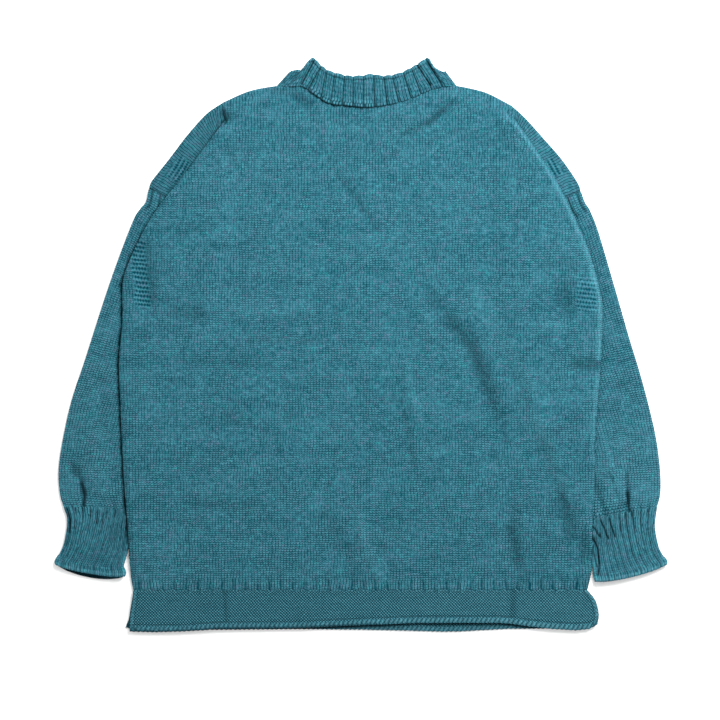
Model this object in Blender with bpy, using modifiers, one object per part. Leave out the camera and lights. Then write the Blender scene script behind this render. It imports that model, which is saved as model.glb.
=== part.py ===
"""A guernsey fisherman's sweater, laid flat on its back with its sleeves tucked under the body.

Every panel is a knitted wall of one thickness. The panels lie on each other in up to four
layers: layer 0 rests on the table and layer 3 is the top. Left and right are the viewer's,
looking down at the front with the collar away from them: +X right, +Y towards the collar.
"""

import math

import bmesh
import bpy
import numpy as np

MM = 0.001
CLOTH = 2.2  # thickness of the knitted wall, mm
GAP = 0.3  # air between two pieces that touch, mm
ARMHOLE_GAP = 0.5  # air along the seam between a sleeve and its shoulder strip, mm
PITCH = CLOTH + GAP  # from one layer's middle to the next one's
FOLD = PITCH / 2  # radius of a fold, at the middle of the wall
INSET = FOLD + CLOTH / 2  # from the outside of a fold to where its round begins
TUCKED = 2 * PITCH  # how far the body is lifted by what lies under it
RAMP = 26  # width of the slope from the lifted edge down to the middle, mm
SLEEVE_CLEARANCE = 1.5  # from the outside of a hidden fold to the top of that slope, mm
SLOPE = ((0.0, 1.0), (1 / 3, 0.74), (2 / 3, 0.26), (1.0, 0.0))  # share of RAMP, share of the lift
SHOULDER_STEPS = 3  # columns from a shoulder's pleat to the neck
NECK_DIP = 10  # how far the row below the neck hangs under a straight line, mm
WELD = 0.02  # points of one piece closer than this are the same point, mm

# The body's own outline and the hidden inner edge of what is tucked under it, mm. "lift" is the
# share of TUCKED by which that side is raised. One row for each course across the body.
BODY_COLUMNS = (
    "y_left", "edge_left", "tuck_left", "lift_left",
    "y_right", "edge_right", "tuck_right", "lift_right",
)
BODY_ROWS = (
    (28, -290, -190, 1.0, 28, 294.5, 190, 1.0),
    (-18, -294, -199, 1.0, -18, 293, 203, 1.0),
    (-67, -292.5, -214, 1.0, -67, 289, 219, 1.0),
    (-115, -290.5, -235, 1.0, -115, 286, 239, 1.0),
    (-158, -289, -252.5, 1.0, -158, 285, 256, 1.0),
    (-190, -287.5, -271, 1.0, -190, 283.5, 269, 1.0),
    (-218, -285.5, -275, 1.0, -226, 282, 277, 1.0),
    (-238, -283, -272, 0.5, -246, 281.5, 273, 0.5),
    (-259, -281, -268, 0.0, -266, 280.5, 268, 0.0),
    (-284, -279, -266, 0.0, -284, 278.5, 266, 0.0),
    (-300, -276.5, -264, 0.0, -300, 278, 264, 0.0),
)

# A shoulder pleat: the front is folded under along "edge" and out again along a hidden fold
# that ends at "hidden"; beyond it the strip of shoulder runs out to the garment's "outline".
PLEATS = {
    "left": {
        "edge": ((-163, 284), (-176, 262), (-215, 208), (-249.5, 164), (-271.5, 125), (-286, 91), (-290, 74)),
        "hidden": (-176, 131),
        "outline": ((-169, 295), (-187.5, 279), (-210.5, 253), (-232.5, 226), (-247, 210.5), (-254.5, 197)),
        "outward": -1,
    },
    "right": {
        "edge": ((178.5, 285), (196, 264), (237, 203), (267.5, 141), (280, 110), (289, 77.5), (294.5, 54)),
        "hidden": (184, 116),
        "outline": ((186, 295), (200.5, 276.5), (224, 251), (246, 226.5), (265, 198), (269, 186)),
        "outward": 1,
    },
}
PLEAT_STATIONS = (0.0, 0.05, 0.1, 0.17, 0.32, 0.52, 0.75, 1.0)
PLEAT_TURNS = (0, 40, 90, 180, 180, 180, 180, 180)  # degrees the cloth turns at each station
PLEAT_LIFTS = (0.0, 0.44, 1.0, 1.0, 1.0, 1.0, 1.0, 1.0)
PLEAT_ADVANCE = (0.0, 3.5, 2.5)  # mm from edge to strip where the turn isn't a full fold yet
FOLD_STEPS = 3
STRIP_STEPS = 3

# The neck, from the left shoulder to the right one, mm: the seam with the panels and the
# collar's free edge above it. Front and back are alike.
NECK_COLUMNS = ("seam_x", "seam_y", "top_x", "top_y")
NECK_ROWS = (
    (-102, 316.5, -87, 333),
    (-86, 316.5, -74, 338),
    (-70, 316, -59, 350),
    (-57, 307.5, -47, 341),
    (-38.5, 296, -30, 332),
    (-16.5, 293, -13, 329),
    (6.5, 291, 6.5, 329),
    (31, 293.5, 27.5, 327.5),
    (50.5, 298.5, 46, 331),
    (66.5, 304, 61.5, 337.5),
    (84.5, 312, 75, 345.5),
    (100.5, 316, 85, 349),
    (109, 316.5, 97, 336),
    (117.5, 316.5, 107, 331),
)
SHOULDER_LEFT = (-135, 308.5)  # on the shoulder, between the pleat and the neck
SHOULDER_RIGHT = (152, 308.5)

# Sleeves: below the armhole and down to the cuff, the outer edge that shows and the hidden
# inner edge, mm. The pleat's own end gives the sleeve's head.
TUBE_COLUMNS = ("outer_x", "outer_y", "inner_x", "inner_y")
SLEEVE_LEFT = (
    (-260.5, 179, -177.5, 109),
    (-273, 155, -181, 86),
    (-288.5, 125, -185.5, 59),
    (-303, 83.5, -192, 29),
    (-318, 38.5, -198, -5.5),
    (-336, -18, -209, -47),
    (-352, -66.5, -223, -83.5),
    (-363, -115.5, -240, -122.5),
    (-368, -152, -254, -157),
    (-366.5, -180, -270, -184),
    (-362, -197, -279, -200.5),
)
SLEEVE_RIGHT = (
    (277.5, 168, 184.5, 94.5),
    (287, 143.5, 186.5, 71.5),
    (299.5, 107, 190.5, 44.5),
    (313, 60.5, 197, 14),
    (326.5, 9, 205.5, -20),
    (338.5, -30, 215.5, -52),
    (352, -69, 227.5, -83.5),
    (361.5, -111.5, 243.5, -120),
    (366.5, -152, 258, -157),
    (365.5, -180, 271.5, -188.5),
    (361.5, -197, 282.5, -213),
)
CUFF_LEFT = (
    (-362, -197.5, -279, -201),
    (-357, -213, -287.5, -218),
    (-359, -237, -286.5, -245),
    (-364, -254, -288.5, -264),
    (-372, -266, -286, -276),
)
CUFF_RIGHT = (
    (361.5, -197.5, 282.5, -213.5),
    (359.5, -219, 284.5, -233),
    (363, -243, 285, -257),
    (366.5, -257, 285, -271),
    (372.5, -266, 285, -283),
)
CUFF_SAG = 4  # how far the middle of a cuff's edge hangs below a straight line, mm
TUBE_STEPS = 3

# The welts below the body, split at both sides, mm. Distances go down from the body's end.
WELT_COLUMNS = ("y", "left", "right")
WELT_ROWS = ((-300.3, -276.5, 280), (-322, -281, 288), (-341, -285, 289.5), (-349, -281, 286))
WELT_COLUMNS_ACROSS = 12
FRONT_WELT_RISE = 7  # how much shorter the front welt is, at its shortest
FRONT_WELT_RISE_AT = (80, 90)  # where along X it is shortest and over what half width, mm

TEAL = (0.03, 0.155, 0.19, 1)


def level(layer):
    """Height of the middle of the wall of one layer."""
    return CLOTH / 2 + PITCH * layer


def named(columns, rows):
    return [dict(zip(columns, row)) for row in rows]


def smooth_path(points, shares):
    """Points at the given shares of the length of a smooth curve through the points."""
    knots = np.array(points, float)
    ends = np.vstack([2 * knots[0] - knots[1], knots, 2 * knots[-1] - knots[-2]])
    fine = [knots[0]]
    for before, start, end, after in zip(ends, ends[1:], ends[2:], ends[3:]):
        for step in np.linspace(0, 1, 13)[1:]:
            fine.append(
                0.5
                * (
                    2 * start
                    + (end - before) * step
                    + (2 * before - 5 * start + 4 * end - after) * step**2
                    + (3 * start - before - 3 * end + after) * step**3
                )
            )
    fine = np.array(fine)
    run = np.concatenate([[0], np.cumsum(np.linalg.norm(np.diff(fine, axis=0), axis=1))])
    return [
        np.array([np.interp(share * run[-1], run, fine[:, axis]) for axis in range(fine.shape[1])])
        for share in shares
    ]


def unit(vector):
    return vector / np.linalg.norm(vector)


def square_to(direction, side):
    """The unit vector in the plane of the table that is square to direction, on the given side of X."""
    across = unit(np.array([-direction[1], direction[0]]))
    return across if across[0] * side > 0 else -across


def between(start, end, steps):
    """Points from start to end, both with their heights, ends included."""
    start, end = np.array(start, float), np.array(end, float)
    return [start + (end - start) * step / steps for step in range(steps + 1)]


def at(point, height):
    return np.array([point[0], point[1], height])


def ground_normals(path, axis, sign):
    """Unit vectors in the plane of the table, square to a path, on the side that axis and sign give."""
    tangents = np.gradient(np.array(path), axis=0)
    normals = [unit(np.array([-tangent[1], tangent[0]])) for tangent in tangents]
    return [normal if normal[axis] * sign > 0 else -normal for normal in normals]


def fold_round(centre, direction, height, turn, steps, downwards):
    """A round fold of the wall's middle: it leaves a layer along direction and turns by turn degrees."""
    points = []
    for step in range(steps + 1):
        angle = math.radians(turn) * step / steps
        reach = FOLD * math.sin(angle)
        drop = FOLD * (1 - math.cos(angle))
        points.append(at(centre + direction * reach, height - drop if downwards else height + drop))
    return points


def pleat_sections(pleat):
    """For each station of a pleat: the fold edge, the tuck point, the outline and the folded section."""
    edge_path = smooth_path(pleat["edge"], PLEAT_STATIONS)
    outline = smooth_path(pleat["outline"], PLEAT_STATIONS)
    outward = ground_normals(edge_path, 0, pleat["outward"])
    hidden_end = np.array(pleat["hidden"], float)
    edges = [edge_path[0]] + [
        point - normal * INSET for point, normal in zip(edge_path[1:], outward[1:])
    ]
    opens = len(PLEAT_ADVANCE) - 1
    opening = edges[opens]
    along_hidden = unit(hidden_end - opening)
    inward = np.array([-along_hidden[1], along_hidden[0]])
    inward = inward if inward[0] * pleat["outward"] < 0 else -inward
    sections = []
    for index, share in enumerate(PLEAT_STATIONS):
        turn = PLEAT_TURNS[index]
        lift = PLEAT_LIFTS[index] * TUCKED
        edge = edges[index]
        if index <= opens:
            strip_start = edge + outward[index] * PLEAT_ADVANCE[index]
            direction = -outward[index]
            tuck = edge
        else:
            travelled = (share - PLEAT_STATIONS[opens]) / (1 - PLEAT_STATIONS[opens])
            strip_start = opening + (hidden_end - opening) * travelled
            direction = inward
            tuck = strip_start + inward * (INSET + SLEEVE_CLEARANCE)
        first = fold_round(edge, outward[index], level(1) + lift, turn, FOLD_STEPS, True)
        second = fold_round(strip_start, direction, level(1), turn, FOLD_STEPS, False)[::-1]
        strip = between(at(strip_start, level(1)), at(outline[index], level(1)), STRIP_STEPS)
        middle = between(first[-1], second[0], 2)[1:-1]
        sections.append(
            {
                "edge": edge,
                "tuck": tuck,
                "outline": outline[index],
                "strip_start": strip_start,
                "lift": lift,
                "folded": first + middle + second + strip[1:],
            }
        )
    return sections


def body_rows(pleats):
    """The plan of the body: rows of (point, lift), from the neck to the hem, left edge to right edge.

    Each row has the same columns: the side's edge, the tuck, the slope, then the middle."""
    neck = named(NECK_COLUMNS, NECK_ROWS)
    seam = [np.array([row["seam_x"], row["seam_y"]]) for row in neck]
    left, right = pleats["left"], pleats["right"]
    middle_count = len(seam)
    rows = []
    top_left = between(left[0]["outline"], SHOULDER_LEFT, SHOULDER_STEPS)
    top_right = between(SHOULDER_RIGHT, right[0]["outline"], SHOULDER_STEPS)
    top = [left[0]["outline"]] * 2 + top_left + seam + top_right + [right[0]["outline"]] * 2
    first = full_row(left[0], right[0], middle_count, NECK_DIP)
    for step in range(STRIP_STEPS):
        share = step / STRIP_STEPS
        rows.append([(a + (b - a) * share, 0.0) for a, (b, _) in zip(top, first)])
    rows.append(first)
    for left_section, right_section in zip(left[1:], right[1:]):
        rows.append(full_row(left_section, right_section, middle_count, 0))
    armhole_row = len(rows) - 1
    for row in named(BODY_COLUMNS, BODY_ROWS):
        sides = [
            {
                "edge": np.array([row["edge_" + side], row["y_" + side]]),
                "tuck": np.array([row["tuck_" + side], row["y_" + side]]),
                "lift": row["lift_" + side] * TUCKED,
            }
            for side in ("left", "right")
        ]
        rows.append(full_row(*sides, middle_count, 0))
    return rows, armhole_row


def full_row(left, right, middle_count, dip):
    """One row of the body: edge, tuck and slope at each side, and evenly spaced columns between."""
    halves = []
    for side, inward in ((left, 1), (right, -1)):
        middle = (side["edge"] + side["tuck"]) / 2
        half = [(side["edge"], side["lift"]), (middle, side["lift"])]
        for share, height in SLOPE:
            half.append((side["tuck"] + np.array([inward * RAMP * share, 0]), side["lift"] * height))
        halves.append(half)
    foot_left, foot_right = halves[0][-1][0], halves[1][-1][0]
    centre = []
    for column in range(1, middle_count + 1):
        share = column / (middle_count + 1)
        sunk = np.array([0, -dip * math.sin(math.pi * share)])
        centre.append((foot_left + (foot_right - foot_left) * share + sunk, 0.0))
    return halves[0] + centre + halves[1][::-1]


def cloth_piece(name, grids, closed=False):
    """A wall of knitted cloth: grids of points, in mm, are joined into one surface and thickened."""
    shape = bmesh.new()
    for grid in grids:
        made = [[shape.verts.new(point * MM) for point in row] for row in grid]
        for above, below in zip(made, made[1:]):
            count = len(above) if closed else len(above) - 1
            for column in range(count):
                after = (column + 1) % len(above)
                shape.faces.new((above[column], below[column], below[after], above[after]))
    bmesh.ops.remove_doubles(shape, verts=shape.verts, dist=WELD * MM)
    bmesh.ops.recalc_face_normals(shape, faces=shape.faces)
    mesh = bpy.data.meshes.new(name)
    shape.to_mesh(mesh)
    shape.free()
    mesh.shade_smooth()
    piece = bpy.data.objects.new(name, mesh)
    garment.objects.link(piece)
    wall = piece.modifiers.new("knitted wall", "SOLIDIFY")
    wall.thickness = CLOTH * MM
    wall.offset = 0
    mesh.materials.append(wool(name))
    return piece


def wool(name):
    material = bpy.data.materials.new(name + " wool")
    material.use_nodes = True
    shader = material.node_tree.nodes["Principled BSDF"]
    shader.inputs["Base Color"].default_value = TEAL
    shader.inputs["Roughness"].default_value = 0.9
    shader.inputs["Metallic"].default_value = 0
    return material


def front_panel(rows, pleats):
    grid = [[at(point, level(1) + lift) for point, lift in row] for row in rows]
    flaps = [[section["folded"] for section in pleats[side]] for side in ("left", "right")]
    cloth_piece("front_panel", [grid] + flaps)


def back_panel(rows, armhole_row, pleats):
    """The back rests on the table but rises over the sleeves below the armholes.

    Above the armhole row its corners lie flat out to the outline, under the shoulder strips."""
    side_columns = 2
    upper = []
    for row in rows[: armhole_row + 1]:
        upper.append([at(point, level(0)) for point, _ in row[side_columns:-side_columns]])
    corners = []
    for side in ("left", "right"):
        corners.append(
            [
                between(at(section["tuck"], level(0)), at(section["outline"], level(0)), STRIP_STEPS)
                for section in pleats[side]
            ]
        )
    lower = [[at(point, level(0) + lift) for point, lift in row] for row in rows[armhole_row:]]
    for index, (_, lift) in enumerate(rows[armhole_row]):
        if lift > 0:
            lower[0][index][1] -= ARMHOLE_GAP
    cloth_piece("back_panel", [upper, lower] + corners)


def flattened_ring(outer, inner, sag=0.0):
    """A section of a sleeve pressed flat: two walls joined by a round fold at each edge."""
    outer, inner = np.array(outer, float), np.array(inner, float)
    across = unit(inner - outer)
    outer_round, inner_round = outer + across * INSET, inner - across * INSET

    def wall(start, end, height):
        points = between(at(start, height), at(end, height), TUBE_STEPS)
        for step, point in enumerate(points):
            point[1] -= sag * math.sin(math.pi * step / TUBE_STEPS)
        return points

    front = wall(outer_round, inner_round, level(1))
    back = wall(inner_round, outer_round, level(0))
    inner_fold = fold_round(inner_round, across, level(1), 180, FOLD_STEPS + 1, True)
    outer_fold = fold_round(outer_round, -across, level(0), 180, FOLD_STEPS + 1, False)
    return front + inner_fold[1:-1] + back + outer_fold[1:-1]


def sleeve_head(pleat, last_section):
    """The two edges of a sleeve where it joins the armhole, a gap away from the shoulder strip."""
    outer, fold_start = last_section["outline"], last_section["strip_start"]
    across = unit(fold_start - outer)
    ahead = np.array([-across[1], across[0]]) * pleat["outward"]
    return outer + ahead * ARMHOLE_GAP, fold_start + across * INSET + ahead * ARMHOLE_GAP


def tube(name, table, head=None, end_sag=0.0):
    """A knitted tube pressed flat, from a table of its two edges."""
    edges = [head] if head else []
    for row in named(TUBE_COLUMNS, table):
        outer = np.array([row["outer_x"], row["outer_y"]], float)
        edges.append((outer, np.array([row["inner_x"], row["inner_y"]], float)))
    last = len(edges) - 1
    rings = [flattened_ring(*pair, end_sag * index / last) for index, pair in enumerate(edges)]
    cloth_piece(name, [rings], closed=True)


def collar():
    """A ribbed band round the neck, pressed flat, so that its front half lies on its back half."""
    rows = named(NECK_COLUMNS, NECK_ROWS)
    seam = [np.array([row["seam_x"], row["seam_y"]]) for row in rows]
    seam = [point + above * GAP for point, above in zip(seam, ground_normals(seam, 1, 1))]
    top = [np.array([row["top_x"], row["top_y"]]) for row in rows]
    left, right = (square_to(top[end] - seam[end], side) for end, side in ((0, -1), (-1, 1)))
    grid = []
    for share in (0.0, 0.35, 0.7, 1.0):
        line = [a + (b - a) * share for a, b in zip(seam, top)]
        for end, outward in ((0, left), (-1, right)):
            along = unit(line[1] - line[0]) if end == 0 else unit(line[-2] - line[-1])
            line[end] = line[end] + along * INSET / abs(along @ outward)
        front = [at(point, level(1)) for point in line]
        back = [at(point, level(0)) for point in line[::-1]]
        right_fold = fold_round(line[-1], right, level(1), 180, FOLD_STEPS + 1, True)
        left_fold = fold_round(line[0], left, level(0), 180, FOLD_STEPS + 1, False)
        grid.append(front + right_fold[1:-1] + back + left_fold[1:-1])
    cloth_piece("collar", [grid], closed=True)


def welt(name, layer, rise):
    """One half of the split moss-stitch band below the body."""
    centre, half_width = FRONT_WELT_RISE_AT
    grid = []
    rows = named(WELT_COLUMNS, WELT_ROWS)
    for index, row in enumerate(rows):
        share = index / (len(rows) - 1)
        line = between((row["left"], row["y"]), (row["right"], row["y"]), WELT_COLUMNS_ACROSS)
        for point in line:
            near = max(0.0, 1 - abs(point[0] - centre) / half_width)
            point[1] += rise * share * math.sin(math.pi / 2 * near) ** 2
        grid.append([at(point, level(layer)) for point in line])
    cloth_piece(name, [grid])


def centre_on_table():
    """Moves the whole garment so that the middle of its outline is over the origin."""
    bpy.context.view_layer.update()
    graph = bpy.context.evaluated_depsgraph_get()
    corners = []
    for piece in garment.objects:
        mesh = piece.evaluated_get(graph).to_mesh()
        corners.extend(piece.matrix_world @ vertex.co for vertex in mesh.vertices)
    low = np.min(np.array(corners), axis=0)
    high = np.max(np.array(corners), axis=0)
    middle = (low + high) / 2
    for piece in garment.objects:
        piece.location = (-middle[0], -middle[1], -low[2])


for leftover in list(bpy.data.objects):
    bpy.data.objects.remove(leftover)
garment = bpy.data.collections.new("guernsey fisherman sweater")
bpy.context.scene.collection.children.link(garment)

shoulder_pleats = {side: pleat_sections(pleat) for side, pleat in PLEATS.items()}
plan, armhole = body_rows(shoulder_pleats)
front_panel(plan, shoulder_pleats)
back_panel(plan, armhole, shoulder_pleats)
welt("front_welt", 1, FRONT_WELT_RISE)
welt("back_welt", 0, 0)
for side, table in (("left", SLEEVE_LEFT), ("right", SLEEVE_RIGHT)):
    tube("sleeve_" + side, table, head=sleeve_head(PLEATS[side], shoulder_pleats[side][-1]))
tube("cuff_left", CUFF_LEFT, end_sag=CUFF_SAG)
tube("cuff_right", CUFF_RIGHT, end_sag=CUFF_SAG)
collar()
centre_on_table()
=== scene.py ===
import math

import bmesh
import bpy
import numpy as np
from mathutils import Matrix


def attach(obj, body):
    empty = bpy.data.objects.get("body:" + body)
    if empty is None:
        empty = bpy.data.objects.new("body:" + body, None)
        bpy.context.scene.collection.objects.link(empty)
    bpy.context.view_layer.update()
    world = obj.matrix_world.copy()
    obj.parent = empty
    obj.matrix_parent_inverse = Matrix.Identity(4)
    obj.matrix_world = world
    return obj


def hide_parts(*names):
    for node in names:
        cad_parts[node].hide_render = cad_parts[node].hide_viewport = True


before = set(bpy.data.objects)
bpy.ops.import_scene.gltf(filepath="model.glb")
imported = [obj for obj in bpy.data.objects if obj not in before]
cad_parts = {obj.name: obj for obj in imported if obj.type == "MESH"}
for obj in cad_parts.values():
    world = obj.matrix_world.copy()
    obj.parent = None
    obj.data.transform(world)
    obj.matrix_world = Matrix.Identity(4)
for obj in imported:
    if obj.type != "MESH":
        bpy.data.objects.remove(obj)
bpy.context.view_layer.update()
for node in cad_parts.values():
    node.select_set(False)

# ---- Table, light and camera -------------------------------------------------------------------
# A seamless white table top, far wider than the sweater. A big soft lamp stands beyond the right
# shoulder, the white room fills the shadows, and the camera looks straight down.
TABLE_REACH = 6.0  # m
TABLE_WHITE = (0.93, 0.93, 0.93, 1)
CAMERA_HEIGHT = 3.0  # m above the table
VIEW_WIDTH = 0.8784  # m of table that the camera sees across
VIEW_CENTRE = (-0.0006, -0.0177)  # m
SENSOR = 36  # mm
LAMP_PLACE = (0.68, 1.0, 1.25)  # m
LAMP_SIZE = 1.2  # m
LAMP_POWER = 54  # W
ROOM_LIGHT = 0.97

bpy.ops.mesh.primitive_plane_add(size=TABLE_REACH)
table_top = bpy.context.active_object
table_top.name = "table_top"
paint = bpy.data.materials.new("white table paint")
paint.use_nodes = True
paint_inputs = paint.node_tree.nodes["Principled BSDF"].inputs
paint_inputs["Base Color"].default_value = TABLE_WHITE
paint_inputs["Roughness"].default_value = 0.9
paint_inputs["Specular IOR Level"].default_value = 0.1
table_top.data.materials.append(paint)

room = bpy.data.worlds.new("white room")
bpy.context.scene.world = room
room.use_nodes = True
background = room.node_tree.nodes["Background"].inputs
background["Color"].default_value = (1, 1, 1, 1)
background["Strength"].default_value = ROOM_LIGHT

bpy.ops.object.light_add(type="AREA", location=LAMP_PLACE)
lamp = bpy.context.active_object
lamp.name = "soft_lamp"
lamp.data.shape = "DISK"
lamp.data.size = LAMP_SIZE
lamp.data.energy = LAMP_POWER
east, north, up = LAMP_PLACE
tilt, turn = math.atan2(math.hypot(east, north), up), math.atan2(north, east) + math.pi / 2
lamp.rotation_euler = (tilt, 0, turn)  # it shines at the middle of the table

bpy.ops.object.camera_add(location=(*VIEW_CENTRE, CAMERA_HEIGHT), rotation=(0, 0, 0))
camera = bpy.context.active_object
camera.data.sensor_width = SENSOR
camera.data.lens = SENSOR * CAMERA_HEIGHT / VIEW_WIDTH
camera.data.clip_end = 50
bpy.context.scene.camera = camera
bpy.context.scene.view_settings.view_transform = "Standard"

# ---- Wool --------------------------------------------------------------------------------------
# Worsted five-ply wool, spun from teal, greyish mauve and brighter blue-green fibres, knitted so
# tightly that it makes a firm wall. Stitches are counted: u in wales across, v in courses up.
WALE = 3.6  # mm from one column of stitches to the next
COURSE = 2.7  # mm from one row of stitches to the next
TEAL = (0.056, 0.205, 0.264, 1)
MAUVE = (0.100, 0.160, 0.250, 1)
BRIGHT = (0.030, 0.250, 0.270, 1)
PAINTED_HIGHLIGHT = (0.108, 0.330, 0.400, 1)  # painted highlight: on top of a stitch, and wherever painted light is asked for
FLECK = (0.030, 0.340, 0.360, 1)  # a stray fibre that took more dye
STITCH_GAP_SHADE = (0.000, 0.043, 0.064, 1)  # painted shade between the stitches
PAINTED_SHADOW = (0.001, 0.009, 0.014, 1)  # painted shadow down in a fold, between two ribs, or wherever the shade mark asks for it
STITCH_LEAN = 0.4  # courses that a stitch's legs rise from its foot to its side
STITCH_RELIEF = 0.0014  # m
DRAWN_ROWS = (62, 112)  # courses up the body where the cloth gets drawn sideways
FIRM_ROWS = (-25, -95)  # and where it gets firmer
STRIP_LIFT = 140  # courses added on the shoulder strips, where the columns stand out most
WANDERING = ((0.13, 1.3), (0.7, 0.42))  # scale of an unevenness, and stitches that it shifts by
WOOL_SURFACE = {
    "Roughness": 0.92, "Specular IOR Level": 0.02, "Sheen Weight": 0.01, "Sheen Roughness": 0.6,
}


class Tone:
    """A number or colour in a material's nodes. Arithmetic on it adds Math nodes."""

    def __init__(self, tree, socket=None):
        self.tree = tree
        self.socket = socket

    def node(self, kind, settings, inputs, output=0):
        """Adds a node: its settings first, then the values or links of its sockets."""
        made = self.tree.nodes.new(kind)
        for key, value in settings.items():
            setattr(made, key, value)
        for key, value in inputs.items():
            if isinstance(value, Tone):
                self.tree.links.new(value.socket, made.inputs[key])
            else:
                made.inputs[key].default_value = value
        return Tone(self.tree, made.outputs[output])

    def maths(self, operation, *values):
        return self.node("ShaderNodeMath", {"operation": operation}, dict(enumerate(values)))

    def __add__(self, other):
        return self.maths("ADD", self, other)

    def __radd__(self, other):
        return self.maths("ADD", other, self)

    def __sub__(self, other):
        return self.maths("SUBTRACT", self, other)

    def __rsub__(self, other):
        return self.maths("SUBTRACT", other, self)

    def __mul__(self, other):
        return self.maths("MULTIPLY", self, other)

    def __rmul__(self, other):
        return self.maths("MULTIPLY", other, self)

    def blend(self, low, high):
        """The colour that this share gives between two colours."""
        inputs = {0: self, 6: low, 7: high}
        return self.node("ShaderNodeMix", {"data_type": "RGBA"}, inputs, 2)

    def spread(self, low, high):
        """This number stretched so that low becomes 0 and high becomes 1."""
        return self.node("ShaderNodeMapRange", {}, {0: self, 1: low, 2: high})


def hump(share):
    """1 in the middle of a share from 0 to 1, and 0 at both ends."""
    return 1 - (2 * share - 1) * (2 * share - 1)


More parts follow.
